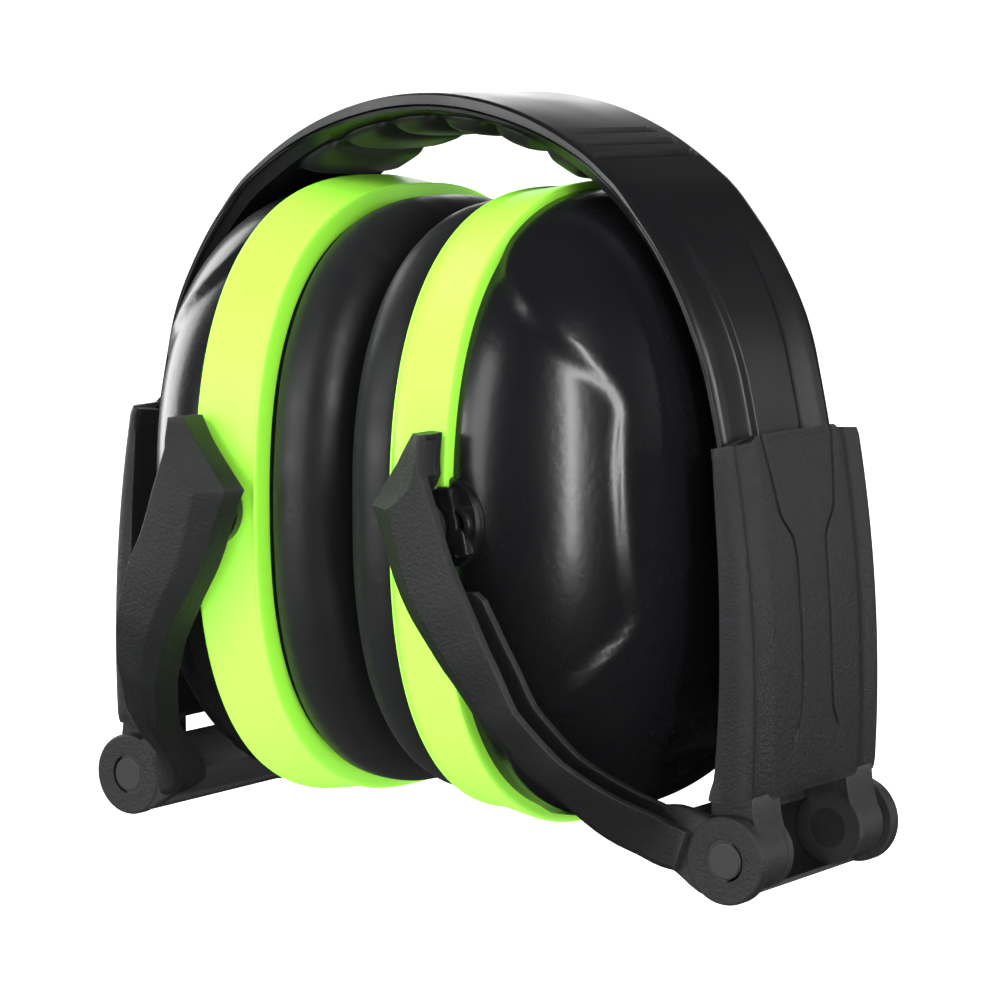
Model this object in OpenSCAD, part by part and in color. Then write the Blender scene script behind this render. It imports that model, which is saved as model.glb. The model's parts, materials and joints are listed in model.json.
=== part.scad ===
// Folding earmuff hearing protector, folded: the cups sit inside the headband's arch,
// cushions face to face.  X runs from ear to ear, Y across the headband, Z up.
// The origin is on the ground, midway between the four hinge ears.

/* [Headband] */
// Outer radius of the crown
crown_r = 52.9; // [52.6:0.1:54]
// Thickness of the crown
crown_t = 3.2; // [2.8:0.1:3.3]
// Width of the headband
band_w = 30.6; // [26:0.2:32]
// Outer radius of the two limbs beside the crown
limb_r = 52.4; // [52.3:0.1:52.8]
// Thickness of the limbs and of their ends inside the sleeves
limb_t = 2.5; // [2:0.1:2.6]
// Bend radius of the limbs' lower ends, along which the sleeves slide
end_r = 200; // [180:5:220]
// Thickness of the pad under the crown
pad_t = 2.6; // [2:0.1:2.7]
// Number of puffed cells in the pad
pad_cells = 6; // [5:1:9]

/* [Hinges] */
// Distance of each fold hinge from the middle plane
hinge_x = 56; // [56:0.5:57]
// Radius of the fork's hinge ears
ear_r = 6.5; // [6:0.1:7]
// Radius of the hinge pins
pin_r = 2; // [1.6:0.1:2.2]
// Radius of the hinge pins' caps
cap_r = 3.1; // [2.8:0.1:3.3]
// Radial running clearance of every pin
pin_play = 0.06; // [0.03:0.01:0.09]

/* [Sleeves] */
// Width of the sleeves
sleeve_w = 39; // [38:0.2:40]
// Wall between a sleeve's channel and its outer face
sleeve_wall = 2.6; // [1.8:0.1:3]
// Gap around the band inside its sleeve
slide_gap = 0.3; // [0.2:0.05:0.4]

/* [Cups] */
// Half width of a cup's ring
ring_a = 41.5; // [40:0.1:41.5]
// Half height of a cup's ring
ring_b = 48; // [46:0.1:48]
// Length of the ring along the ear axis
ring_l = 10.8; // [10:0.1:11]
// Height of the cup's centre above the fold hinge
cup_rise = 47.5; // [47:0.1:48]
// Distance from the middle plane to the ring
ring_x = 12.2; // [12:0.1:12.4]
// Depth of the domed shell outside the ring
dome_l = 25.8; // [23:0.1:26]
// Wall of the shell
shell_t = 2.2; // [1.8:0.1:2.6]
// Squareness of the oval outlines, 2 is an ellipse
oval_power = 2.5; // [2.2:0.1:2.6]

/* [Forks] */
// Half width of the fork outside the pivots
fork_y = 48; // [47.5:0.1:49]
// Distance of the cup pivots from the middle plane
pivot_x = 20; // [19.5:0.1:20]
// Radius of the pivot studs
stud_r = 2.5; // [2:0.1:2.6]
// Wall of the fork's open channel
fork_wall = 1.9; // [1.6:0.1:2.2]

/* [Hidden] */
$fn = 96;

hinge_z = ear_r - 0.2;              // the ears end in small flats on the ground
cup_z = hinge_z + cup_rise;
crown_z = hinge_z + 55.4;           // centre of the crown's bend
limb_a = 14;                        // angle above level where the crown's bend ends
step_a = 48.5;                      // angle above level where the crown gets thicker
end_x = (limb_r - end_r) * cos(limb_a);            // centre of the ends' bend
end_z = crown_z + (limb_r - end_r) * sin(limb_a);
end_low = -2.6;                     // angle of the band's end
sleeve_top = 11.5;                  // angles of the sleeve's two ends
sleeve_low = -3.3;
ring_end = ring_x + ring_l;
knuckle_r = 5.3;
knuckle_y = [9.4, 16.9];
ear_y = [17.2, 19.6];
head_y = 42.6;                      // inner face of the fork's heads

black = [0.045, 0.045, 0.05];
soft_black = [0.07, 0.07, 0.075];
foam_grey = [0.16, 0.16, 0.17];
steel = [0.6, 0.61, 0.63];
lime = [0.62, 0.94, 0.12];

// ---------- shared shapes ----------

// Draws the right-hand shape, or its mirror image for the left
module on(side) {
    if (side > 0) children();
    else mirror([1, 0, 0]) children();
}

// Draws a shape on the front and again on the back
module both() {
    children();
    mirror([0, 1, 0]) children();
}

// Bends a section, drawn as (radius, y), about an axis along Y at (x, z)
module bend(x, z, from, to) {
    translate([x, 0, z])
        rotate([90, -from, 0])
            rotate_extrude(angle = to - from)
                children();
}

// A plain rectangular section from radius r0 to r1 and across y
module band_section(r0, r1, y) {
    translate([r0, -y])
        square([r1 - r0, 2 * y]);
}

// A round bar along Y between y0 and y1
module rod(x, z, r, y0, y1) {
    translate([x, y1, z])
        rotate([90, 0, 0])
            cylinder(r = r, h = y1 - y0);
}

// Signed power, for the squared ovals
function spow(v, p) = sign(v) * pow(abs(v), p);

// Squared oval outline with half sizes a and b
function oval(a, b, steps = 72) =
    [for (i = [0:steps - 1])
        [a * spow(cos(360 * i / steps), 2 / oval_power),
         b * spow(sin(360 * i / steps), 2 / oval_power)]];

// Oval disc across the ear axis, starting at x, t thick
module disc(x, t, a, b) {
    translate([x, 0, cup_z])
        rotate([90, 0, 90])
            linear_extrude(t)
                polygon(oval(a, b));
}

// How far the dome has closed in at a fraction u of its depth
function dome(u) = pow(1 - pow(u, 2.1), 1 / 2.1);

// Solid dome standing on the ring's outer side
module dome_solid(a, b, depth, x0) {
    hull()
        for (u = [0, 0.2, 0.38, 0.54, 0.68, 0.79, 0.88, 0.94, 0.965])
            disc(x0 + depth * u, 0.05, a * dome(u), b * dome(u));
}

// ---------- headband ----------

// Limb section: two rims and a raised middle panel on a thinner strap.
// slim is how much smaller it is all round.
module limb_section(r, slim = 0) {
    edge = band_w / 2 - 0.15 - slim;
    low = r - limb_t + slim;
    high = r - slim;
    polygon([[low, 2 - edge], [low + 1.1, -edge], [high, -edge], [high, 2 - edge], [high - 0.5, 2.4 - edge],
             [high - 0.5, -7.9], [high, -7.5], [high, 7.5], [high - 0.5, 7.9],
             [high - 0.5, edge - 2.4], [high, edge - 2], [high, edge], [low + 1.1, edge],
             [low, edge - 2]]);
}

// Crown section, with its inner corners cut
module crown_section() {
    half = band_w / 2;
    low = crown_r - crown_t;
    polygon([[low, 1.6 - half], [low + 1.2, -half], [crown_r, -half], [crown_r, half],
             [low + 1.2, half], [low, half - 1.6]]);
}

module grip_slots() {
    for (i = [0:2])
        bend(0, crown_z, 62.9 - 3.7 * i, 64.3 - 3.7 * i)
            band_section(crown_r - 0.9, crown_r + 1, 11 + 1.4 * i);
}

// Shallow notches under the band's end, for the detent
module notches() {
    for (i = [0:6])
        bend(end_x, end_z, -1.6 + 1.2 * i, -1.1 + 1.2 * i)
            band_section(end_r - limb_t - 1, end_r - limb_t + 0.5, 4);
}

module limb() {
    bend(0, crown_z, limb_a, step_a + 1)
        limb_section(limb_r);
    bend(end_x, end_z, end_low, limb_a + 0.4)
        limb_section(end_r, 0.1);
}

module headband() {
    color(black)
        difference() {
            union() {
                bend(0, crown_z, step_a, 180 - step_a)
                    crown_section();
                limb();
                mirror([1, 0, 0]) limb();
            }
            grip_slots();
            mirror([1, 0, 0]) grip_slots();
            notches();
            mirror([1, 0, 0]) notches();
        }
}

module crown_pad() {
    top = crown_r - crown_t;
    span = 66;
    cell = span / pad_cells;
    color(soft_black)
        union() {
            bend(0, crown_z, 90 - span / 2, 90 + span / 2)
                band_section(top - 1, top, 13.2);
            for (i = [0:pad_cells - 1])
                bend(0, crown_z, 90 - span / 2 + cell * i + 0.5, 90 - span / 2 + cell * (i + 1) - 0.5)
                    band_section(top - pad_t, top - 0.5, 12.8);
        }
}

// ---------- sleeves ----------

module sleeve_section() {
    out = end_r + slide_gap + sleeve_wall;
    in = end_r - limb_t - slide_gap - 1.5;
    half = sleeve_w / 2;
    polygon([[in, -14.5], [in + 2.6, -half], [out - 1.2, -half], [out, 1.8 - half],
             [out, half - 1.8], [out - 1.2, half], [in + 2.6, half], [in, 14.5]]);
}

module knuckle(y0, y1) {
    rod(hinge_x, hinge_z, knuckle_r, y0, y1);
    translate([hinge_x - 3.2, y0, hinge_z])
        cube([5.8, y1 - y0, 9.5]);
}

module sleeve(side) {
    in = end_r - limb_t - slide_gap;
    color(black)
        on(side)
            difference() {
                union() {
                    bend(end_x, end_z, sleeve_low, sleeve_top)
                        sleeve_section();
                    both() knuckle(knuckle_y[0], knuckle_y[1]);
                }
                bend(end_x, end_z, end_low - 0.15, sleeve_top + 1)
                    band_section(in, end_r + slide_gap, band_w / 2 + slide_gap);
                bend(end_x, end_z, 3, 8)
                    band_section(in - 3, in + 1, 5.2);
                both()
                    bend(end_x, end_z, sleeve_low - 1, sleeve_top + 1)
                        translate([end_r + slide_gap + sleeve_wall - 0.6, 13.2])
                            square([2, 1.6]);
                both() rod(hinge_x, hinge_z, pin_r + pin_play, 9, 18);
            }
}

module detent(side) {
    in = end_r - limb_t - slide_gap;
    color(black)
        on(side)
            bend(end_x, end_z, 3, 7.9)
                band_section(in - 1.3, in - 0.1, 5);
}

// ---------- forks ----------

// Middle line of the fork's arm from the hinge to the head: across, up, half width
arm_line = [[-2, -1.5, 3.4], [-6.5, 0.2, 3.5], [-10.8, 3, 4], [-14.5, 8.2, 3.4],
            [-18.3, 15, 3], [-22.6, 22.7, 3.4], [-26.9, 30.6, 4], [-30.6, 38.3, 4.4],
            [-33.6, 45.6, 4.6], [-35.4, 50.8, 4.7], [-34.7, 56.5, 3.2], [-33.4, 62, 1.7]];

// Smooth curve through four stations, at t from the second to the third
function curve(p, i, t) =
    let (a = p[max(i - 1, 0)], b = p[i], c = p[i + 1], d = p[min(i + 2, len(p) - 1)])
    (2 * b + (c - a) * t + (2 * a - 5 * b + 4 * c - d) * t * t
     + (3 * b - a - 3 * c + d) * t * t * t) / 2;

function smooth(p, steps = 3) =
    concat([for (i = [0:len(p) - 2]) for (k = [0:steps - 1]) curve(p, i, k / steps)],
           [p[len(p) - 1]]);

// Points beside the arm's middle line, inset from the side given by sgn: 1 is the side
// towards the other fork, -1 the outer side
function beside(p, sgn, inset) =
    [for (i = [0:len(p) - 1])
        let (a = p[max(i - 1, 0)], b = p[min(i + 1, len(p) - 1)],
             d = [b[0] - a[0], b[1] - a[1]], n = [-d[1], d[0]] / norm(d))
        [p[i][0], p[i][1]] + sgn * (p[i][2] - inset) * n];

function reverse(p) = [for (i = [len(p) - 1:-1:0]) p[i]];

function pick(p, from, to) = [for (i = [from:to]) p[i]];

// Side outline of the arm, as a prism through the whole width
module arm_prism(line, inner_inset, outer_inset) {
    p = smooth(line);
    translate([hinge_x, 60, hinge_z])
        rotate([90, 0, 0])
            linear_extrude(120)
                polygon(concat(beside(p, 1, inner_inset), reverse(beside(p, -1, outer_inset))));
}

// Turned about the pivots, so that the cup can swing inside it: distance from the pivot, y
arm_inner = [[0, head_y], [11, head_y], [20, 40.8], [29, 37.7], [38, 31.6], [44, 24],
             [49.5, ear_y[0]], [70, ear_y[0]]];
arm_outer = [[70, ear_y[1]], [55, ear_y[1]], [51.5, 22], [46, 29], [38, 38], [29, 44.2],
             [20, fork_y - 1], [12, fork_y], [0, fork_y]];

module turned(outline) {
    translate([pivot_x, 0, cup_z])
        rotate([90, 0, 0])
            rotate_extrude() {
                polygon(outline);
                mirror([0, 1]) polygon(outline);
            }
}

module arms() {
    intersection() {
        arm_prism(arm_line, 0, 0);
        turned(concat(arm_inner, arm_outer));
    }
}

// The hollow of the open channel between the arm's two walls, open on the outer side
module channel() {
    wall = [0, fork_wall];
    intersection() {
        arm_prism(pick(arm_line, 2, 10), fork_wall, -3);
        turned(concat([for (p = arm_inner) p + wall], [for (p = arm_outer) p - wall]));
    }
}

// Joins the two arms beside the hinge and runs on underneath the knuckles
module web() {
    lean = atan2(-cup_rise, hinge_x - pivot_x);
    difference() {
        bend(pivot_x, cup_z, lean - 11, lean - 1.2)
            band_section(50.2, 52.1, 20);
        bend(pivot_x, cup_z, lean - 8, lean - 4)
            band_section(49, 53, 5.5);
    }
    bend(hinge_x, hinge_z, 128, 272)
        band_section(knuckle_r + 0.3, ear_r - 0.15, ear_y[0] + 0.8);
    bend(hinge_x, hinge_z, 131, 176)
        band_section(ear_r - 0.5, 7.8, ear_y[0] + 1.1);
}

module fork(side) {
    color(black)
        on(side)
            difference() {
                union() {
                    difference() {
                        arms();
                        channel();
                    }
                    both() rod(hinge_x, hinge_z, ear_r, ear_y[0], ear_y[1]);
                    both() rod(pivot_x, cup_z, 4.3, head_y, fork_y - 1);
                    web();
                }
                both() rod(hinge_x, hinge_z, pin_r, ear_y[0] - 1, ear_y[1] + 1);
                both() rod(hinge_x, hinge_z, cap_r, ear_y[1] - 1.2, ear_y[1] + 1);
                both() rod(pivot_x, cup_z, stud_r, head_y - 1, fork_y - 3);
                translate([0, -50, -20])
                    cube([100, 100, 20]);
            }
}

module hinge_pins(side) {
    color(soft_black)
        on(side)
            both() {
                rod(hinge_x, hinge_z, pin_r, knuckle_y[0], ear_y[1] - 1.2);
                rod(hinge_x, hinge_z, cap_r, ear_y[1] - 1.2, ear_y[1]);
            }
}

module pivot_studs(side) {
    color(black)
        on(side)
            both() rod(pivot_x, cup_z, stud_r, ring_a - 4, fork_y - 3);
}

// ---------- cups ----------

// Snap clip at each pivot: a plate under the fork's head with two loops and two tabs behind it
module pivot_clips(side) {
    color(black)
        on(side)
            both()
                difference() {
                    union() {
                        rod(pivot_x, cup_z, 5, ring_a + 0.1, head_y - 0.3);
                        translate([pivot_x, ring_a + 0.1, cup_z - 4])
                            cube([5.6, head_y - ring_a - 0.4, 8]);
                        translate([ring_end + 0.2, ring_a - 1.2, cup_z - 4])
                            cube([2.4, head_y - ring_a + 0.9, 8]);
                        for (s = [-1, 1])
                            translate([ring_end + 0.2, ring_a - 1.2, cup_z + s * 5.2 - 1.5])
                                cube([5, head_y - ring_a + 0.9, 3]);
                        for (s = [-1, 1])
                            rod(ring_end + 3.4, cup_z + s * 2.1, 2, ring_a - 1.2, head_y - 0.3);
                    }
                    rod(pivot_x, cup_z, stud_r + pin_play, 35, 50);
                    for (s = [-1, 1])
                        rod(ring_end + 3.6, cup_z + s * 2.1, 1, 35, 50);
                }
}

module cup_ring(side) {
    a = ring_a - 1.5;
    b = ring_b - 1.4;
    color(lime)
        on(side)
            difference() {
                union() {
                    hull() {
                        disc(ring_x, 0.1, a, b);
                        disc(ring_end - 0.1, 0.1, ring_a, ring_b);
                    }
                    disc(ring_x, 1, a + 0.5, b + 0.5);
                }
                disc(ring_x - 1, 3.8, ring_a - 4.9, ring_b - 4.8);
                disc(ring_x, ring_l, ring_a - 7.5, ring_b - 7.4);
                disc(ring_x + 4.4, ring_l, ring_a - 4.9, ring_b - 4.8);
                both() rod(pivot_x, cup_z, stud_r + pin_play, 30, 50);
            }
}

module cup_shell(side) {
    a = ring_a - 1.3;
    b = ring_b - 1.2;
    color(black)
        on(side)
            union() {
                difference() {
                    dome_solid(a, b, dome_l, ring_end);
                    dome_solid(a - shell_t, b - shell_t, dome_l - shell_t, ring_end - 0.04);
                }
                difference() {
                    disc(ring_end - 2.6, 2.8, ring_a - 5.1, ring_b - 5);
                    disc(ring_end - 3, 4, ring_a - 7.1, ring_b - 7);
                }
                // shelf that joins the spigot to the shell's wall
                difference() {
                    disc(ring_end, 1.2, a - 1, b - 1);
                    disc(ring_end - 1, 4, ring_a - 7.1, ring_b - 7);
                }
            }
}

module seal_plate(side) {
    color(soft_black)
        on(side)
            difference() {
                disc(ring_x + 0.4, 2.4, ring_a - 5.1, ring_b - 5);
                disc(ring_x, 4, 21, 30);
            }
}

module cushion(side) {
    a = ring_a - 3.1;
    b = ring_b - 2.9;
    color(soft_black)
        on(side)
            difference() {
                hull() {
                    disc(0.4, 0.1, a - 4.4, b - 4.4);
                    disc(1.4, 0.1, a - 2.1, b - 2.1);
                    disc(3.4, 0.1, a - 0.6, b - 0.6);
                    disc(6, 1.6, a, b);
                    disc(10, 0.1, a - 0.5, b - 0.5);
                    disc(ring_x - 0.3, 0.1, a - 1.8, b - 1.8);
                }
                disc(-1, 20, 20.5, 29.5);
                difference() {
                    disc(2.4, 20, a - 3.4, b - 3.4);
                    disc(2, 20, 22, 31);
                }
            }
}

module cushion_foam(side) {
    color(foam_grey)
        on(side)
            difference() {
                disc(2.7, ring_x - 3, ring_a - 6.9, ring_b - 6.7);
                disc(2, 20, 22.4, 31.4);
            }
}

module absorber(side) {
    color(foam_grey)
        on(side)
            hull() {
                disc(ring_end + 4, 0.1, ring_a - 8, ring_b - 8);
                disc(ring_end + 15, 0.1, ring_a - 14.5, ring_b - 15.7);
            }
}

headband();
crown_pad();
sleeve(-1);  // sleeve_left
detent(-1);  // detent_left
fork(-1);  // fork_left
hinge_pins(-1);  // hinge_pins_left
pivot_studs(-1);  // pivot_studs_left
pivot_clips(-1);  // pivot_clips_left
cup_ring(-1);  // cup_ring_left
cup_shell(-1);  // cup_shell_left
seal_plate(-1);  // seal_plate_left
cushion(-1);  // cushion_left
cushion_foam(-1);  // cushion_foam_left
absorber(-1);  // absorber_left
sleeve(1);  // sleeve_right
detent(1);  // detent_right
fork(1);  // fork_right
hinge_pins(1);  // hinge_pins_right
pivot_studs(1);  // pivot_studs_right
pivot_clips(1);  // pivot_clips_right
cup_ring(1);  // cup_ring_right
cup_shell(1);  // cup_shell_right
seal_plate(1);  // seal_plate_right
cushion(1);  // cushion_right
cushion_foam(1);  // cushion_foam_right
absorber(1);  // absorber_right
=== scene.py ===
import json
import math
import random

import bmesh
import bpy
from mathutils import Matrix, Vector, noise


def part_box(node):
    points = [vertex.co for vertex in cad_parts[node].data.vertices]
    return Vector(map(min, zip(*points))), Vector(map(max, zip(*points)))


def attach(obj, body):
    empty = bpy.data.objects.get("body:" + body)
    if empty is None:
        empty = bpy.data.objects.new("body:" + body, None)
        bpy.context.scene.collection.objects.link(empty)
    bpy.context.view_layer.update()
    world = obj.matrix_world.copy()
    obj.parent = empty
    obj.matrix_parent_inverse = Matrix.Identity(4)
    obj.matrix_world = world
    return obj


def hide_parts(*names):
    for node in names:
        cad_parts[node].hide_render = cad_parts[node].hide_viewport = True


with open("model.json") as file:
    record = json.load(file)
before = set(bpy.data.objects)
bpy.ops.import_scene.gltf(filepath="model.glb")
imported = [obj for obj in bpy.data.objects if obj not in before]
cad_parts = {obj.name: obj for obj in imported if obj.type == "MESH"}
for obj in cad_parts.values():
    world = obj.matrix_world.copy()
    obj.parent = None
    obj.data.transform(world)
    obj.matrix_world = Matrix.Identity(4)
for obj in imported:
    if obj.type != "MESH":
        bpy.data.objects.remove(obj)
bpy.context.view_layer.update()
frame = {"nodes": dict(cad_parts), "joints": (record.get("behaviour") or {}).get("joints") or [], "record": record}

MM = 0.001
SIDES = (("left", -1), ("right", 1))

# ---------- places, all from the frame ----------

joints = {j["name"]: j for j in frame["joints"]}
ring_low, ring_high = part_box("cup_ring_right")
cup_z = (ring_low.z + ring_high.z) / 2
ring_a = ring_high.y
ring_b = (ring_high.z - ring_low.z) / 2
cushion_low, cushion_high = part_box("cushion_right")
pad_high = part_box("crown_pad")[1]
band_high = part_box("headband")[1]
pivot = Vector(joints["tilt_right"]["pos_m"])
hinge = Vector(joints["fold_right"]["pos_m"])

OVAL_POWER = 2.5     # squareness of the cups' outlines
OVAL_STEPS = 168
DOME_POWER = 2.1


# ---------- mesh helpers ----------

def spow(value, power):
    """Power that keeps the value's sign."""
    return math.copysign(abs(value) ** power, value)


def oval(x, a, b, steps=OVAL_STEPS):
    """Squared oval across the ear axis, half sizes a along Y and b along Z."""
    points = []
    for i in range(steps):
        turn = 2 * math.pi * i / steps
        points.append(Vector((x, a * spow(math.cos(turn), 2 / OVAL_POWER),
                              cup_z + b * spow(math.sin(turn), 2 / OVAL_POWER))))
    return points


def new_object(name, bm):
    bmesh.ops.recalc_face_normals(bm, faces=bm.faces)
    mesh = bpy.data.meshes.new(name)
    bm.to_mesh(mesh)
    bm.free()
    piece = bpy.data.objects.new(name, mesh)
    bpy.context.scene.collection.objects.link(piece)
    return piece


def skin(bm, sections, closed=False):
    """Skin over closed sections; a closed skin is a ring, an open one gets its two ends filled."""
    rows = [[bm.verts.new(p) for p in section] for section in sections]
    count = len(rows[0])
    pairs = list(zip(rows, rows[1:]))
    if closed:
        pairs.append((rows[-1], rows[0]))
    else:
        bm.faces.new(rows[0])
        bm.faces.new(rows[-1])
    for row, following in pairs:
        for i in range(count):
            j = (i + 1) % count
            bm.faces.new((row[i], row[j], following[j], following[i]))


def loft(name, sections, closed=False):
    bm = bmesh.new()
    skin(bm, sections, closed)
    return new_object(name, bm)


def rounded(corners, radius, steps=3):
    """Closed outline with every corner cut by a small curve; the number of points never changes."""
    result = []
    for i, here in enumerate(corners):
        before, after = corners[i - 1] - here, corners[(i + 1) % len(corners)] - here
        size = min(radius, 0.45 * before.length, 0.45 * after.length)
        start, end = here + before.normalized() * size, here + after.normalized() * size
        for k in range(steps):
            t = k / (steps - 1)
            result.append((1 - t) ** 2 * start + 2 * t * (1 - t) * here + t * t * end)
    return result


def along(stops, at, crisp=False):
    """Value at a place along (place, value) stops, eased a little at each stop unless crisp."""
    def straight(x):
        for (a, va), (b, vb) in zip(stops, stops[1:]):
            if x <= b:
                return va + (vb - va) * max(x - a, 0) / (b - a)
        return stops[-1][1]
    if crisp:
        return straight(at)
    reach = 0.012 * (stops[-1][0] - stops[0][0])
    return (straight(at - reach) + 2 * straight(at) + straight(at + reach)) / 4


def arc(x, z, r, start, end, steps):
    """Points (x, z) on an arc, in millimetres and degrees."""
    turns = [math.radians(start + (end - start) * i / steps) for i in range(steps + 1)]
    return [Vector((x + r * math.cos(t), z + r * math.sin(t))) for t in turns]


def slab(bm, outline, y0, y1, side, edge=0.3):
    """Outline in (x, z) millimetres carried along Y from y0 to y1, with its two edges eased."""
    middle = sum(outline, Vector((0, 0))) / len(outline)
    rows = []
    for y, inset in ((y0, edge), (y0 + edge, 0), (y1 - edge, 0), (y1, edge)):
        row = []
        for p in outline:
            p = p + (middle - p).normalized() * inset
            row.append(Vector((p.x * side, y, p.y)) * MM)
        rows.append(row)
    skin(bm, rows)


def wheel(bm, x, z, profile, side, facing, closed, steps=56):
    """Profile of (radius, y) millimetres turned about an axis along Y; facing is -1 in front, 1 behind."""
    rows = []
    for r, y in profile:
        circle = arc(x, z, r, 0, 360 - 360 / steps, steps - 1)
        rows.append([Vector((side * p.x, facing * y, p.y)) * MM for p in circle])
    skin(bm, rows, closed)


def mirrored(points, side):
    return [Vector((p.x * side, p.y, p.z)) for p in points]


def smooth(piece, angle=None):
    """Smooth shading, with edges sharper than angle degrees kept hard when one is given."""
    for face in piece.data.polygons:
        face.use_smooth = True
    if angle:
        mark_sharp(piece.data, math.radians(angle))
        flat = piece.modifiers.new("flat_faces", "WEIGHTED_NORMAL")
        flat.keep_sharp = True


def mark_sharp(mesh, limit):
    bm = bmesh.new()
    bm.from_mesh(mesh)
    for edge in bm.edges:
        edge.smooth = not (len(edge.link_faces) == 2 and edge.calc_face_angle() > limit)
    bm.to_mesh(mesh)
    bm.free()


def dome(u):
    """Share of a cup's outline left at share u of the shell's depth."""
    return (1 - min(u, 1) ** DOME_POWER) ** (1 / DOME_POWER)


def step(edge0, edge1, value):
    """Smooth rise from 0 at edge0 to 1 at edge1."""
    t = min(max((value - edge0) / (edge1 - edge0), 0), 1)
    return t * t * (3 - 2 * t)


# ---------- materials ----------

def material(name, colour, roughness, coat=0.0, specular=0.5, sheen=0.0):
    mat = bpy.data.materials.new(name)
    mat.use_nodes = True
    shader = surface(mat)
    shader.inputs["Base Color"].default_value = (*colour, 1)
    shader.inputs["Roughness"].default_value = roughness
    shader.inputs["Specular IOR Level"].default_value = specular
    shader.inputs["Coat Weight"].default_value = coat
    shader.inputs["Coat Roughness"].default_value = 0.08
    shader.inputs["Sheen Weight"].default_value = sheen
    return mat


def surface(mat):
    return mat.node_tree.nodes["Principled BSDF"]


def node(mat, kind, **inputs):
    made = mat.node_tree.nodes.new(kind)
    for key, value in inputs.items():
        made.inputs[key.replace("_", " ")].default_value = value
    return made


def join(mat, source, target):
    mat.node_tree.links.new(source, target)


def texture_place(mat):
    return node(mat, "ShaderNodeTexCoord").outputs["Object"]


def noise_node(mat, grain, detail=4.0, roughness=0.5):
    """Noise whose features are about grain metres across."""
    made = node(mat, "ShaderNodeTexNoise", Scale=1 / grain, Detail=detail, Roughness=roughness)
    join(mat, texture_place(mat), made.inputs["Vector"])
    return made.outputs["Fac"]


def ranged(mat, value, low, high, from_low=0.3, from_high=0.7):
    made = node(mat, "ShaderNodeMapRange", From_Min=from_low, From_Max=from_high, To_Min=low, To_Max=high)
    join(mat, value, made.inputs["Value"])
    return made.outputs["Result"]


def bump(mat, height, strength, distance, before=None):
    made = node(mat, "ShaderNodeBump", Strength=strength, Distance=distance)
    join(mat, height, made.inputs["Height"])
    if before:
        join(mat, before, made.inputs["Normal"])
    return made.outputs["Normal"]


def vary_colour(mat, colour, other, factor):
    mix = node(mat, "ShaderNodeMix")
    mix.data_type = "RGBA"
    ends = [socket for socket in mix.inputs if socket.type == "RGBA"]
    ends[0].default_value = (*colour, 1)
    ends[1].default_value = (*other, 1)
    join(mat, factor, mix.inputs[0])
    mixed = [socket for socket in mix.outputs if socket.type == "RGBA"][0]
    join(mat, mixed, surface(mat).inputs["Base Color"])


def moulded(name, colour, roughness, grain, depth, wear=0.02):
    """Moulded plastic: spark-eroded grain, patchy sheen and edges rubbed a little lighter."""
    mat = material(name, colour, roughness)
    shader = surface(mat)
    broad = noise_node(mat, 0.018, detail=3)
    fine = noise_node(mat, grain, detail=5, roughness=0.65)
    join(mat, ranged(mat, broad, roughness - 0.05, roughness + 0.06), shader.inputs["Roughness"])
    join(mat, bump(mat, fine, 0.6, depth), shader.inputs["Normal"])
    edges = node(mat, "ShaderNodeNewGeometry").outputs["Pointiness"]
    worn = tuple(min(c + wear, 1) for c in colour)
    vary_colour(mat, colour, worn, ranged(mat, edges, 0, 1, 0.52, 0.62))
    return mat


def glossy(name, colour, roughness, peel):
    """Glossy moulded plastic with a fine orange peel."""
    mat = material(name, colour, roughness, coat=0.25)
    shader = surface(mat)
    shader.inputs["Coat Roughness"].default_value = 0.16
    waves = noise_node(mat, 0.0013, detail=3)
    dust = noise_node(mat, 0.03, detail=6, roughness=0.7)
    join(mat, ranged(mat, dust, roughness - 0.02, roughness + 0.03), shader.inputs["Roughness"])
    join(mat, bump(mat, waves, 0.5, peel), shader.inputs["Normal"])
    return mat


def vinyl(name, colour):
    """Soft vinyl skin: pebbled grain over slow ripples, with a weak sheen."""
    mat = material(name, colour, 0.42, specular=0.4, sheen=0.03)
    shader = surface(mat)
    pebbles = node(mat, "ShaderNodeTexVoronoi", Scale=1 / 0.0009)
    join(mat, texture_place(mat), pebbles.inputs["Vector"])
    ripples = noise_node(mat, 0.006, detail=3)
    first = bump(mat, ripples, 0.35, 0.0004)
    join(mat, bump(mat, pebbles.outputs["Distance"], 0.25, 0.00005, before=first), shader.inputs["Normal"])
    join(mat, ranged(mat, ripples, 0.36, 0.5), shader.inputs["Roughness"])
    return mat


def foam(name, colour):
    mat = material(name, colour, 0.95, specular=0.1)
    cells = node(mat, "ShaderNodeTexVoronoi", Scale=1 / 0.0012)
    join(mat, texture_place(mat), cells.inputs["Vector"])
    shader = surface(mat)
    join(mat, bump(mat, cells.outputs["Distance"], 0.9, 0.0006), shader.inputs["Normal"])
    return mat


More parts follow.
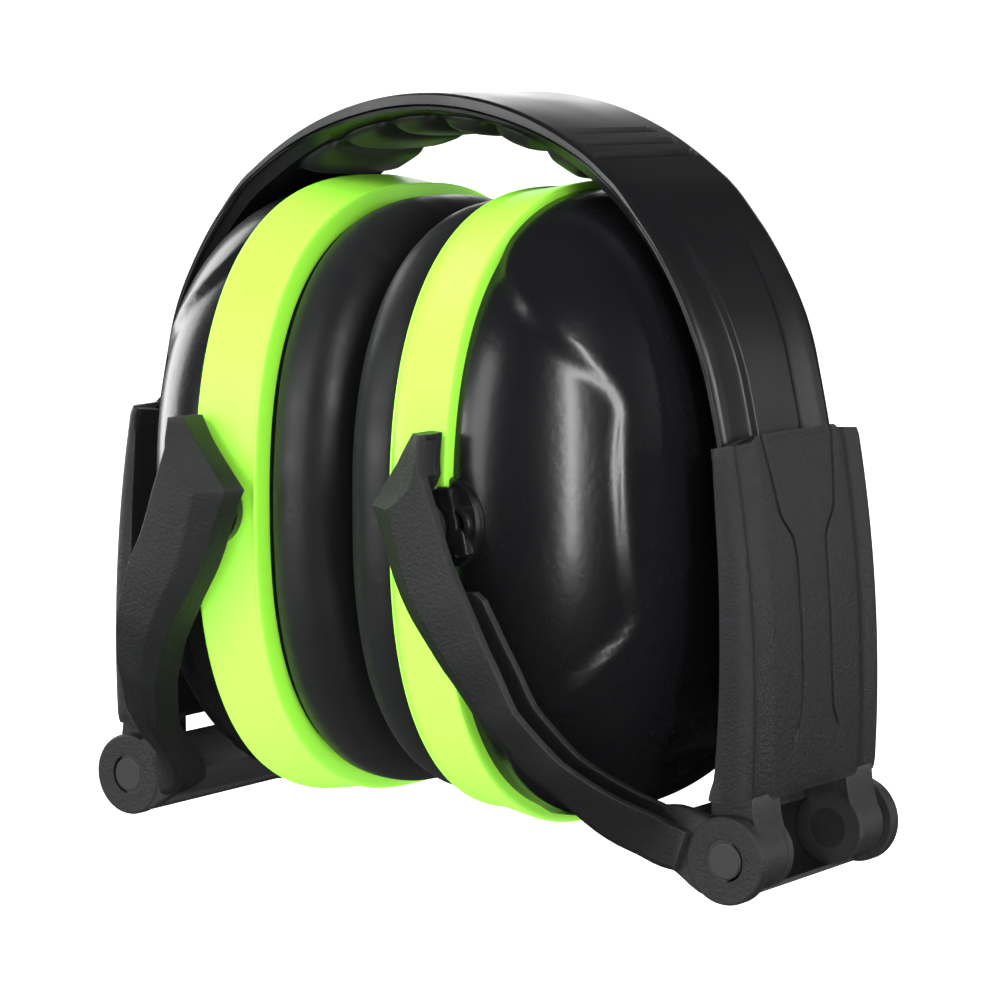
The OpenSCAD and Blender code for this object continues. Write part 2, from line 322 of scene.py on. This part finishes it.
LIME = (0.30, 0.80, 0.05)
looks = {
    "band_black": moulded("band_plastic", (0.007, 0.007, 0.008), 0.34, 0.0006, 0.00002, wear=0.01),
    "sleeve_black": moulded("sleeve_plastic", (0.008, 0.008, 0.0095), 0.46, 0.00055, 0.00035),
    "fork_black": moulded("fork_plastic", (0.0085, 0.009, 0.009), 0.46, 0.00055, 0.00035),
    "pin_black": moulded("pin_plastic", (0.016, 0.016, 0.017), 0.42, 0.0005, 0.00003),
    "plate_black": moulded("plate_plastic", (0.014, 0.014, 0.015), 0.5, 0.0005, 0.00004),
    "clip_black": glossy("clip_plastic", (0.007, 0.007, 0.008), 0.22, 0.00003),
    "shell_black": glossy("shell_plastic", (0.005, 0.005, 0.006), 0.27, 0.00006),
    "lime": moulded("ring_plastic", LIME, 0.42, 0.0007, 0.00002, wear=0.0),
    "vinyl": vinyl("cushion_vinyl", (0.007, 0.007, 0.008)),
    "pad_black": vinyl("pad_vinyl", (0.006, 0.006, 0.0065)),
    "foam": foam("grey_foam", (0.05, 0.05, 0.055)),
}


def paint(piece, slot):
    piece.data.materials.clear()
    piece.data.materials.append(looks[slot])


# ---------- CAD nodes, and how a piece takes one's place ----------

slot_of = {s["node"]: s["material_slot"] for s in frame["record"]["subparts"]}


def dress(name):
    """Gives a CAD node its material, and joins the loose corners that its mesh came with."""
    piece = frame["nodes"][name]
    for slot in piece.material_slots:
        slot.material = looks[slot_of[name]]
    weld = piece.modifiers.new("weld", "WELD")
    weld.merge_threshold = 1e-6


def dress_all():
    for name in frame["nodes"]:
        dress(name)


def finish(piece, node_name, slot_name, body):
    """Paints a detailed piece, and puts it in its CAD node's place on a body."""
    paint(piece, slot_name)
    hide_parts(node_name)
    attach(piece, body)
    return piece


# ---------- headband ----------

# Outer radii of the bend, in millimetres, and the turn where the limb's straighter end begins
CROWN_R, LIMB_R, END_R = 52.9, 52.4, 200
CROWN_Z = band_high.z / MM - CROWN_R
LIMB_A = 14
END_X = (LIMB_R - END_R) * math.cos(math.radians(LIMB_A))
END_Z = CROWN_Z + (LIMB_R - END_R) * math.sin(math.radians(LIMB_A))
END_LOW = -2.6
# Grip slots on a shoulder: first and last turn in degrees, and half length
GRIP_SLOTS = [(62.9 - 3.7 * i, 64.3 - 3.7 * i, 11 + 1.4 * i) for i in range(3)]
GRIP_DEPTH = 1.0
RIM_DIP = 0.14


def band_place(turn):
    """Point on the strap's outer face and the outward direction; below LIMB_A the bend is END_R."""
    a = math.radians(turn)
    out = Vector((math.cos(a), math.sin(a)))
    if turn >= LIMB_A:
        crown = step(41, 50, turn)
        return Vector((0, CROWN_Z)) + out * (LIMB_R + (CROWN_R - LIMB_R) * crown), out
    return Vector((END_X, END_Z)) + out * END_R, out


def band_section(turn):
    """Half widths and heights (v, h) of the strap's section, height 0 on its outer face."""
    crown = step(40, 54, turn)
    half = 15.2 + 0.6 * step(10, 24, turn) * (1 - step(44, 58, turn))
    thick = 2.5 + 0.7 * crown
    edge = 1.35 + 1.35 * step(52, 78, turn)
    panel = along([(-3, 6.2), (14, 6.3), (26, 7.0), (42, 8.2), (90, 8.2)], turn)
    ridge = 0.55 * step(-3, 3, turn) * (1 - step(30, 43, turn))
    slot_depth, slot_half = 0.0, 0.0
    for low, high, length in GRIP_SLOTS:
        if low - 0.25 <= turn <= high + 0.25:
            fade = step(low - 0.25, low + 0.2, turn) * (1 - step(high - 0.2, high + 0.25, turn))
            slot_depth = GRIP_DEPTH * fade
            slot_half = length
    widths = [0] + [panel + v for v in (-1.6, -0.75, -0.45, 0, 0.35, 0.8, 1.5)]
    widths += [10.4, 11, 11.25, 12.2, 12.4, 12.7, 13.8, 14.1]
    widths += [half - v for v in (1.2, 0.8, 0.35, 0.08, 0)]
    heights = []
    for v in widths:
        h = -ridge * step(panel - 0.5, panel + 0.6, v) * (1 - 0.55 * step(panel + 0.8, half - 1.5, v))
        h -= RIM_DIP * step(half - 1.2, half - 0.3, v) + 0.18 * step(half - 0.45, half, v)
        if slot_depth and v <= slot_half + 0.02:
            h -= slot_depth
        heights.append((v, h))
    outer_edge = heights[-1][1]
    groove = 0.55 * crown
    low = -max(edge, -outer_edge + 0.6)
    middle = (outer_edge + low) / 2 - 0.35 * crown
    under = [(half + 0.02, (outer_edge + middle) / 2), (half, middle + 0.18), (half - 0.06 - groove, middle),
             (half - 0.02, middle - 0.18), (half - 0.08, low + 0.2), (half - 0.3, low),
             (half - 0.8, low - 0.1 * crown), (half - 1.9, -thick), (0, -thick)]
    return heights + under


def headband():
    """One half of the strap from the end to the crown, then its mirror image; stations crowd at the slots."""
    turns = [END_LOW, END_LOW + 0.2]
    turns += [-2 + 1.0 * i for i in range(17)] + [15 + 1.25 * i for i in range(29)]
    for low, high, _ in GRIP_SLOTS:
        turns += [low - 0.9, low - 0.27, low - 0.05, low + 0.22, high - 0.22, high + 0.05, high + 0.27]
    turns += [65.6 + 1.22 * i for i in range(21)]
    rows = []
    for turn in sorted(turns):
        at, out = band_place(turn)
        half_row = band_section(turn)
        loop = half_row + [(-v, h) for v, h in half_row[-2:0:-1]]
        rows.append([Vector((at.x + out.x * h, -v, at.y + out.y * h)) * MM for v, h in loop])
    rows += [mirrored(row, -1) for row in rows[:-1][::-1]]
    piece = loft("head_strap", rows)
    smooth(piece, 38)
    return finish(piece, "headband", "band_black", "band")


# ---------- sleeves ----------

# First and last turn of a sleeve in degrees, and the radius of its outer face
SLEEVE_TOP, SLEEVE_LOW = 11.5, -3.3
SLEEVE_OUT = END_R + 2.9
SLEEVE_DEEP = 7.2        # depth of its inner face below the outer one
CAVITY_MID = 4.15        # depth of the middle of the hollow for the strap
TOP_DROP = 0.28          # degrees that the top edge drops at its sides
KNUCKLE_R = 5.3


def sleeve_section(share):
    """Half of the sleeve's outline as (v, depth) from the middle of the outer face, share 0 at the foot."""
    line = along([(0, 6.4), (0.06, 6.4), (0.16, 6.0), (0.21, 4.6), (0.3, 4.1), (0.66, 4.1), (0.71, 4.6),
                  (0.77, 7.4), (0.82, 8.0), (1, 9.8)], share)
    line_depth = 0.42 * step(0.10, 0.2, share)
    side = along([(0, 5.2), (0.06, 4.4), (0.2, 4.0), (0.5, 3.3), (0.8, 2.4), (1, 1.5)], share)
    inner_half = along([(0, 14.5), (0.5, 13.5), (1, 11.5)], share)
    foot = 0.35 * (1 - step(0.0, 0.08, share))
    outline = [(0, 0), (line - 1.4, 0), (line - 0.75, 0.02), (line - 0.38, 0.06), (line - 0.2, line_depth),
               (line + 0.2, line_depth), (line + 0.38, 0.06), (line + 0.75, 0.02), (line + 1.4, 0)]
    outline += [(11.4, 0), (12.1, 0.06), (12.8, 0.26), (13.5, 0.56), (14.2, 0.84), (14.9, 0.98), (15.5, 0.98),
                (16.0, 0.82), (16.5, 0.55), (17.0, 0.36), (17.6, 0.32), (18.2, 0.5), (18.8, 0.85),
                (19.25, 0.85 + 0.22 * side), (19.5, 0.9 + 0.5 * side), (19.55 + foot, 1.0 + side * 0.75),
                (19.35 + foot, side + 1.0)]
    reach = SLEEVE_DEEP - side - 1.0
    outline += [(19.3 + (inner_half - 19.3) * k, side + 1.0 + reach * k) for k in (0.12, 0.55, 0.9)]
    outline += [(inner_half - 0.3, SLEEVE_DEEP), (0, SLEEVE_DEEP)]
    return outline


def sleeve_cavity(outline):
    """The same number of points round the hollow that the strap slides in."""
    half, low, high = 15.5, 5.7, 2.6
    stretch = 3          # the hollow is flat, so depths are stretched to spread the points evenly
    tall = (low - high) / 2 * stretch
    cavity = []
    for v, depth in outline:
        reach = Vector((v, (depth - CAVITY_MID) * stretch))
        if abs(reach.x) * tall > abs(reach.y) * half:
            k = half / abs(reach.x)
        else:
            k = tall / abs(reach.y) if reach.y else 1
        cavity.append((reach.x * k, CAVITY_MID + reach.y * k / stretch))
    return cavity


def sleeve(label, side):
    shares = [0, 0.01, 0.03, 0.06] + [0.1 + 0.02 * i for i in range(44)] + [0.975, 0.99, 1]
    outer, inner = [], []
    for share in shares:
        turn = SLEEVE_LOW + (SLEEVE_TOP - SLEEVE_LOW) * share
        half_row = sleeve_section(share)
        ease = 0.35 * (step(0.98, 1, share) + step(0.02, 0, share))
        for rows, outline, inset in ((outer, half_row, ease), (inner, sleeve_cavity(half_row), 0)):
            loop = outline + [(-v, d) for v, d in outline[-2:0:-1]]
            row = []
            for v, d in loop:
                a = math.radians(turn - TOP_DROP * step(10.8, 13, abs(v)) * step(0.9, 1, share))
                middle = Vector((0, CAVITY_MID)) - Vector((v, d))
                v, d = Vector((v, d)) + middle.normalized() * inset
                r = SLEEVE_OUT - d
                row.append(Vector(((END_X + r * math.cos(a)) * side, -v, END_Z + r * math.sin(a))) * MM)
            rows.append(row)
    bm = bmesh.new()
    # The hollow is open at the top and stops short of the foot
    skin(bm, outer + inner[:1:-1])
    hx, hz = hinge.x / MM, hinge.z / MM
    barrel = arc(hx, hz, KNUCKLE_R, 35, -215, 40)
    outline = [Vector((hx + x, hz + z)) for x, z in ((3.1, 9), (3.3, 7.2), (3.7, 5.2))] + barrel
    outline += [Vector((hx - 3.9, hz + 5.2)), Vector((hx - 3.8, hz + 9))]
    for facing in (-1, 1):
        y0, y1 = sorted((facing * 9.4, facing * 17.0))
        slab(bm, outline, y0, y1, side, 0.35)
        wheel(bm, hx, hz, [(3, 9.35), (5.35, 9.35), (5.55, 9.5), (5.55, 10.3), (5.35, 10.5), (3, 10.5)],
              side, facing, True)
    piece = new_object("sleeve_" + label + "_shell", bm)
    smooth(piece, 38)
    return finish(piece, "sleeve_" + label, "sleeve_black", "slider_" + label)


# ---------- forks ----------

# Middle line of an arm from the hinge to the tip: across, up, half width
ARM = [(-6.8, 0.7, 3.2), (-10.1, 2.1, 3.5), (-13.9, 5.8, 3.8), (-17.6, 12.3, 2.9), (-21.7, 20.2, 3.0),
       (-25.1, 28.4, 3.8), (-28.9, 36.1, 4.4), (-32.4, 42.8, 4.7), (-35.1, 50.2, 5.0), (-34.9, 56.8, 2.1),
       (-34.0, 61.2, 1.0)]
# Distance from the mid plane of an arm's inner and outer face, by distance from the pivot
ARM_INNER = [(0, 42.6), (11, 42.6), (20, 40.8), (29, 37.7), (38, 31.6), (44, 24.4), (49.5, 18), (70, 17.5)]
ARM_OUTER = [(0, 48), (12, 48), (20, 47), (29, 44.2), (38, 38), (46, 29), (51.5, 22.6), (55.4, 20.4),
             (70, 20.2)]
HEAD_STATION = 7         # the arrow-shaped head starts here, with straight runs between its stations
ARM_STEPS = 5            # rows from one station to the next
# The web between the arms: its radii about the pivot, and half widths of the web and of its window
WEB_NEAR, WEB_FAR = 50.3, 52.0
WEB_HALF, WINDOW_HALF = 18.5, 5.2


def spline(points, per_step):
    """Smooth line through the points as far as the head, and straight from there."""
    result = []
    for i in range(len(points) - 1):
        a, b, c, d = (Vector(points[min(max(i + k, 0), len(points) - 1)]) for k in (-1, 0, 1, 2))
        for k in range(per_step):
            t = k / per_step
            if i >= HEAD_STATION:
                result.append(b.lerp(c, t))
                continue
            result.append((2 * b + (c - a) * t + (2 * a - 5 * b + 4 * c - d) * t * t
                           + (3 * b - a - 3 * c + d) * t ** 3) / 2)
    return result + [Vector(points[-1])]


def arm_rows(side, facing):
    """Sections of one arm: a front face, one chamfer, a side wall and an open channel behind."""
    line = spline(ARM, ARM_STEPS)
    rows = []
    for i, (across, up, w) in enumerate(line):
        at = i / ARM_STEPS
        a, b = line[max(i - 1, 0)], line[min(i + 1, len(line) - 1)]
        run = Vector((b.x - a.x, b.y - a.y)).normalized()
        level = step(6, 7.8, at)
        inward = Vector((-run.y * (1 - level) - level, run.x * (1 - level) + 0.06 * level)).normalized()
        from_pivot = math.hypot(across - (pivot.x - hinge.x) / MM, up - (pivot.z - hinge.z) / MM)
        near, far = along(ARM_INNER, from_pivot), along(ARM_OUTER, from_pivot)
        near -= 0.4 * step(8.2, 10, at)
        far -= 0.4 * step(9, 10, at)
        ridge = along([(0, w - 0.7), (3, w - 0.9), (5, w - 1.3), (6.5, w - 0.9), (8, w - 1.7), (9.1, 0.5 - w),
                       (10, 0.35 - w)], at, True)
        edge = along([(0, w), (3, w + 0.3), (5, w + 0.9), (6.5, w + 1.9), (8, w + 2.5), (9, w + 0.9),
                      (10, w)], at, True)
        base = along([(0, w + 0.1), (3, w + 0.6), (5, w + 1.6), (6.5, w + 2.8), (8, w + 3.7), (9, w + 1.4),
                      (10, w + 0.1)], at, True)
        drop = along([(0, 0.6), (3, 0.9), (5, 1.4), (6.5, 1.8), (8, 2.2), (9, 2.0), (10, 1.0)], at, True)
        floor = along([(0, -w), (0.6, -w), (1.2, w - 1.7), (8.8, w - 1.9), (10, w - 1.1)], at)
        floor = max(min(floor, ridge - 0.9), 0.1 - w)
        back = along([(0, -w), (6.2, -w), (6.5, floor), (10, floor)], at)
        floor = min(floor, edge - 2.3)
        corners = [(-w, far), (ridge, far), (edge, far - drop), (base, near + 0.3), (base - 0.2, near),
                   (back - 0.05, near), (back - 0.05, near + 1.5), (floor, near + 1.6), (floor, far - 1.7),
                   (-w, far - 1.7)]
        row = []
        for u, y in rounded([Vector(c) for c in corners], 0.34):
            x = hinge.x / MM + across + inward.x * u
            z = hinge.z / MM + up + inward.y * u
            row.append(Vector((x * side, facing * y, z)) * MM)
        rows.append(row)
    return rows


def web_outline():
    """Section of the plate that joins the arms and wraps under the knuckles, in (x, z)."""
    hx, hz = hinge.x / MM, hinge.z / MM
    inner = arc(hx, hz, 5.6, 271, 131, 28)
    outer = []
    for i in range(29):
        turn = 131 + 5 * i
        lip = 1.4 * step(127, 132, turn) * (1 - step(168, 180, turn))
        outer += arc(hx, hz, 6.3 + lip, turn, turn, 1)[:1]
    return inner + outer


def web_bar(start, end):
    """Section of one bar of the web, bent round the pivot from turn start to turn end."""
    px, pz = pivot.x / MM, pivot.z / MM
    return arc(px, pz, WEB_NEAR, start, end, 8) + arc(px, pz, WEB_FAR, end, start, 8)


def fork(label, side):
    hx, hz = hinge.x / MM, hinge.z / MM
    px, pz = pivot.x / MM, pivot.z / MM
    lean = math.degrees(math.atan2(hinge.z - pivot.z, hinge.x - pivot.x))
    bm = bmesh.new()
    necks = [(0, -6.2), (-4.6, -5.2), (-8.2, -2.7), (-12.6, -0.5), (-14.4, 1.4), (-13, 6.4), (-8, 7.2),
             (-3, 6), (2, 5)]
    neck = [Vector((hx + x, hz + z)) for x, z in necks]
    for facing in (-1, 1):
        skin(bm, arm_rows(side, facing))
        ear = [(3.05, 17.3), (6.2, 17.3), (6.45, 17.5), (6.45, 19.1), (6.35, 19.4), (6.1, 19.55),
               (3.3, 19.55), (3.12, 19.5), (3.05, 19.3)]
        wheel(bm, hx, hz, ear, side, facing, True)
        y0, y1 = sorted((facing * 17.4, facing * 19.4))
        slab(bm, rounded(neck, 1.6), y0, y1, side, 0.3)
        wheel(bm, px, pz, [(4.2, 42.7), (4.3, 42.9), (4.3, 46), (3.9, 46.4), (0.5, 46.4), (0.5, 42.7)],
              side, facing, True)
    slab(bm, web_outline(), -17.9, 17.9, side, 0.1)
    for start, end in ((-11, -8), (-4, -1.2)):
        slab(bm, rounded(web_bar(lean + start, lean + end), 0.3), -WEB_HALF, WEB_HALF, side, 0.2)
    for facing in (-1, 1):
        y0, y1 = sorted((facing * WINDOW_HALF, facing * WEB_HALF))
        slab(bm, web_bar(lean - 8.5, lean - 3.5), y0, y1, side, 0.2)
    piece = new_object("fork_arm_" + label, bm)
    smooth(piece, 19)
    return finish(piece, "fork_" + label, "fork_black", "yoke_" + label)


def pivot_clip(label, side):
    """Glossy snap clip at each pivot: a plate, the pivot's disc, a boss with a hole, and two tabs."""
    cx, cz = pivot.x / MM + 4.2, pivot.z / MM + 0.5
    bm = bmesh.new()
    turns = [2 * math.pi * i / 48 for i in range(48)]
    plate = [Vector((cx - 1.4 + 5.2 * math.cos(t), cz + 6.6 * math.sin(t))) for t in turns]
    disc = [(0.5, 40.6), (5.6, 40.6), (5.7, 40.8), (5.7, 42), (5.5, 42.2), (0.5, 42.2)]
    ring = [(2.1, 40.2), (3.1, 40.2), (3.15, 41.5), (2.95, 41.8), (2.6, 41.85), (2.3, 41.7), (2.15, 41.4)]
    tabs = [[(21.7, 59.7), (24.1, 59.8), (25.3, 56.6), (25.1, 55.9), (22.9, 55.9)],
            [(24.0, 53.9), (26.6, 54.0), (27.4, 50.3), (25.3, 49.9)]]
    for facing in (-1, 1):
        y0, y1 = sorted((facing * 36.5, facing * 40.3))
        slab(bm, plate, y0, y1, side, 0.4)
        wheel(bm, pivot.x / MM, pivot.z / MM, disc, side, facing, True)
        wheel(bm, cx, cz, ring, side, facing, True)
        for corners in tabs:
            corners = [Vector((px + pivot.x / MM - 20, pz + pivot.z / MM - 53.8)) for px, pz in corners]
            y0, y1 = sorted((facing * 40.1, facing * 42.25))
            slab(bm, rounded(corners, 0.4), y0, y1, side, 0.25)
    piece = new_object("snap_clip_" + label, bm)
    smooth(piece, 38)
    return finish(piece, "pivot_clips_" + label, "clip_black", "cup_" + label)


def hinge_pins(label, side):
    hx, hz = hinge.x / MM, hinge.z / MM
    bm = bmesh.new()
    profile = [(1.8, 9.5), (2, 9.7), (2, 18.5), (2.72, 18.5), (2.72, 19.3), (2.62, 19.45), (2.4, 19.55)]
    for facing in (-1, 1):
        wheel(bm, hx, hz, profile, side, facing, False)
    piece = new_object("pins_" + label, bm)
    smooth(piece, 38)
    return finish(piece, "hinge_pins_" + label, "pin_black", "yoke_" + label)


# ---------- cups ----------

def offset_ring(profile, a, b, side):
    """Sections of a ring that follows the cup's outline; profile is (x, outward) in metres."""
    return [mirrored(oval(x, a + d, b + d), side) for x, d in profile]


def cup_ring(label, side):
    x0, x1 = ring_low.x, ring_high.x
    lip = [(0.00, -1.6), (0.08, -1.3), (0.25, -1.15), (0.5, -1.15), (0.65, -1.3), (0.8, -1.42), (1.8, -1.42)]
    profile = [(x0 + x * MM, d * MM) for x, d in lip]
    for i in range(1, 9):
        t = i / 8
        profile.append((x0 + (1.8 + t * 8.2) * MM, (-1.42 + 1.36 * t) * MM))
    profile += [(x1 - 0.5 * MM, -0.02 * MM), (x1 - 0.2 * MM, -0.12 * MM), (x1 - 0.03 * MM, -0.4 * MM),
                (x1, -0.9 * MM), (x1, -4.0 * MM), (x1 - 0.3 * MM, -4.9 * MM),
                (x0 + 0.5 * MM, -4.9 * MM), (x0, -4.4 * MM), (x0, -2.2 * MM)]
    piece = loft("ring_band_" + label, offset_ring(profile, ring_a, ring_b, side), closed=True)
    smooth(piece, 40)
    return finish(piece, "cup_ring_" + label, "lime", "cup_" + label)


def side_panel(point):
    """How far inside the edge of a recessed side panel a point of the right-hand shell lies, in metres."""
    up = abs(point.z - cup_z - 2 * MM)
    reach = 43 * MM - 0.9 * MM * (point.z - cup_z) / (20 * MM)
    corner = step(14 * MM, 40 * MM, up)
    return reach - corner * 19 * MM - point.x


def shell_point(u, turn, a, b, x0, depth):
    shrink = dome(u)
    y = a * shrink * spow(math.cos(turn), 2 / OVAL_POWER)
    z = b * shrink * spow(math.sin(turn), 2 / OVAL_POWER)
    return Vector((x0 + depth * u, y, cup_z + z))


SHELL_DEPTH = 25.8 * MM
SHELL_WALL = 2.2 * MM
PANEL_RECESS = 0.7 * MM


def cup_shell(label, side):
    """Domed shell with a recessed panel at each side, over a plain hollow."""
    x0 = ring_high.x
    a, b, depth = ring_a - 1.3 * MM, ring_b - 1.2 * MM, SHELL_DEPTH
    wall = SHELL_WALL
    centre = Vector((x0, 0, cup_z))
    stations = [math.sin(math.pi / 2 * i / 52) for i in range(50)]
    outer = []
    for u in stations:
        row = []
        for i in range(OVAL_STEPS):
            turn = 2 * math.pi * i / OVAL_STEPS
            p = shell_point(u, turn, a, b, x0, depth)
            slope = step(-PANEL_RECESS, PANEL_RECESS, side_panel(p))
            recess = PANEL_RECESS * slope * step(14 * MM, 19 * MM, abs(p.y))
            inward = (centre - p).normalized()
            row.append(p + inward * recess)
        outer.append(row)
    inner = [[shell_point(u, 2 * math.pi * i / OVAL_STEPS, a - wall, b - wall, x0, depth - wall)
              for i in range(OVAL_STEPS)] for u in stations[::5]]
    sections = [mirrored(row, side) for row in inner[::-1] + outer]
    piece = loft("shell_dome_" + label, sections)
    smooth(piece, 50)
    return finish(piece, "cup_shell_" + label, "shell_black", "cup_" + label)


# ---------- soft pieces ----------

def cushion_sections(side, seed):
    """Sections of a cushion round the cup's outline, with small creases above and below."""
    a, b = cushion_high.y, cushion_high.z - cup_z
    x0 = cushion_low.x
    profile = [(11.5, -1.9), (10.9, -0.9), (9.8, -0.3), (8.4, -0.05), (6.9, 0), (5.4, -0.15), (4.0, -0.65),
               (2.8, -1.45), (1.7, -2.6), (0.9, -4.0), (0.35, -5.6), (0.08, -7.4), (0, -9.2), (0.05, -11),
               (0.3, -12.8), (0.8, -14.4), (1.7, -15.9), (3, -17), (5, -17.7), (8, -17.9), (11.5, -17.9)]
    rng = random.Random(seed)
    creases = [(rng.uniform(0.30, 0.70) * math.pi, rng.uniform(0.5, 1.0), rng.uniform(-0.12, 0.12))
               for _ in range(9)]
    creases += [(rng.uniform(1.30, 1.70) * math.pi, rng.uniform(0.4, 0.8), rng.uniform(-0.12, 0.12))
                for _ in range(6)]
    sections = []
    for x, d in profile:
        section = oval(x0 + x * MM, a + d * MM, b + d * MM)
        crown = math.exp(-((x - 2.5) / 3.5) ** 2) * step(-12, -8, d)
        for i, p in enumerate(section):
            turn = 2 * math.pi * i / len(section)
            dip = sum(depth * math.exp(-((turn - at - lean * (x - 3) * 0.3) / 0.022) ** 2)
                      for at, depth, lean in creases)
            ripple = noise.noise(Vector((p.x, p.y, p.z)) * 90 + Vector((seed, 0, 0)))
            inward = (Vector((6 * MM + x0, 0, cup_z)) - p).normalized()
            p += inward * (0.28 * MM * dip * crown + 0.12 * MM * ripple)
        sections.append(mirrored(section, side))
    return sections


def cushion(label, side, seed):
    piece = loft("ear_cushion_" + label, cushion_sections(side, seed), closed=True)
    smooth(piece)
    sub = piece.modifiers.new("round", "SUBSURF")
    sub.levels = 1
    sub.render_levels = 1
    return finish(piece, "cushion_" + label, "vinyl", "cup_" + label)


PAD_CELLS = 6
PAD_SPAN = math.radians(67)
CELL_ALONG, CELL_ACROSS = 20, 14     # steps of a cell's mesh


def crown_pad():
    """Comfort pad: a row of puffed cells on a thin backing across the underside of the crown."""
    crown_r = CROWN_R * MM
    crown_z = band_high.z - crown_r
    top = crown_r - 3.2 * MM
    half = pad_high.y - 0.6 * MM
    across = [math.sin(math.pi / 2 * (-1 + 2 * k / CELL_ACROSS)) for k in range(CELL_ACROSS + 1)]
    sections = []
    count = PAD_CELLS * CELL_ALONG
    for i in range(count + 1):
        share = i / count
        turn = math.pi / 2 + PAD_SPAN * (0.5 - share)
        local = abs((share * PAD_CELLS) % 1.0 - 0.5) / 0.42
        puff = (1 - local ** 3.4) ** 0.5 if local < 1 else 0
        width = half - (1.6 - 1.4 * puff) * MM
        section = []
        for v in across:
            drop = 0.12 * MM
            if abs(v) < 1:
                drop = (0.35 + puff * (2.0 * (1 - abs(v) ** 9) ** 0.6 + 0.6 * (1 - v * v))) * MM
            r = top - 0.15 * MM - drop
            section.append(Vector((r * math.cos(turn), v * width, crown_z + r * math.sin(turn))))
        for v in across[::-1]:
            r = top - 0.02 * MM
            section.append(Vector((r * math.cos(turn), v * width * 0.985, crown_z + r * math.sin(turn))))
        sections.append(section)
    piece = loft("comfort_pad", sections)
    smooth(piece, 60)
    return finish(piece, "crown_pad", "pad_black", "band")


# ---------- studio ----------

CAMERA_TURN, CAMERA_DIP = 35.549, 6.69      # degrees round Z, and below the horizontal
CAMERA_PLACE = (0.33128, -0.45940, 0.11875)
CAMERA_LENS = 133.73
AIM = Vector((0.01, 0, 0.06))               # the lights point here


def camera():
    data = bpy.data.cameras.new("camera")
    data.sensor_width = 36
    data.lens = CAMERA_LENS
    data.clip_start = 0.01
    cam = bpy.data.objects.new("camera", data)
    cam.location = CAMERA_PLACE
    cam.rotation_euler = (math.radians(90 - CAMERA_DIP), 0, math.radians(CAMERA_TURN))
    bpy.context.scene.collection.objects.link(cam)
    bpy.context.scene.camera = cam


def softbox(name, place, width, height, power, gloss=True):
    data = bpy.data.lights.new(name, "AREA")
    data.shape = "RECTANGLE"
    data.size = width
    data.size_y = height
    data.energy = power
    light = bpy.data.objects.new(name, data)
    light.location = place
    light.rotation_euler = (AIM - Vector(place)).to_track_quat("-Z", "Y").to_euler()
    light.visible_glossy = gloss
    light.visible_camera = False
    bpy.context.scene.collection.objects.link(light)


def sweep_profile():
    """Floor, quarter bend and wall of the studio, in (y, z) metres."""
    bend = 0.5
    wall = 0.6
    turns = [t / 12 * math.pi / 2 for t in range(1, 13)]
    curve = [(wall + bend * math.sin(t), bend - bend * math.cos(t)) for t in turns]
    return [(-2, 0), (wall, 0)] + curve + [(wall + bend, 2.2)]


def studio():
    """White world, pale sweep and softboxes; the floor lies below the lowest reach of the unfolded cups."""
    world = bpy.data.worlds.new("studio")
    world.use_nodes = True
    background = world.node_tree.nodes["Background"]
    background.inputs[0].default_value = (1, 1, 1, 1)
    background.inputs[1].default_value = 1.0
    world.cycles_visibility.glossy = False
    bpy.context.scene.world = world
    bpy.context.scene.view_settings.view_transform = "Standard"
    bm = bmesh.new()
    profile = sweep_profile()
    rows = [[bm.verts.new((x, y, z)) for y, z in profile] for x in (-2.5, 2.5)]
    for i in range(len(profile) - 1):
        bm.faces.new((rows[0][i], rows[1][i], rows[1][i + 1], rows[0][i + 1]))
    sweep = new_object("studio_sweep", bm)
    sweep.rotation_euler.z = math.radians(CAMERA_TURN)
    # An arm, half a cup, 25 mm of sleeve travel and 5 mm to spare
    reach = (pivot - hinge).length + ring_b + 30 * MM
    sweep.location.z = hinge.z - reach
    smooth(sweep)
    sweep.data.materials.append(material("sweep_paint", (0.93, 0.93, 0.93), 0.85, specular=0.1))
    sweep.visible_glossy = False
    softbox("key", (-0.42, -0.62, 0.5), 0.3, 0.5, 7, gloss=False)
    softbox("front", (-0.16, -0.8, 0.27), 0.24, 0.6, 1.6)
    softbox("low", (-0.46, -0.7, 0.14), 0.22, 0.24, 1.5)
    softbox("strip", (0.7, -0.37, 0.22), 0.09, 0.6, 3.0)
    softbox("rim", (0.74, 0.54, 0.2), 0.2, 0.5, 2.4)
    softbox("back", (-0.42, 0.78, 0.30), 0.6, 0.2, 1.5)
    softbox("left", (-0.8, 0.1, 0.3), 0.5, 0.7, 4)
    softbox("top", (0.15, 0.1, 0.8), 0.7, 0.5, 4, gloss=False)


camera()
dress_all()
headband()
for label, side in SIDES:
    sleeve(label, side)
    fork(label, side)
    hinge_pins(label, side)
    pivot_clip(label, side)
    cup_ring(label, side)
    cup_shell(label, side)
    cushion(label, side, seed=11 + side)
crown_pad()
studio()
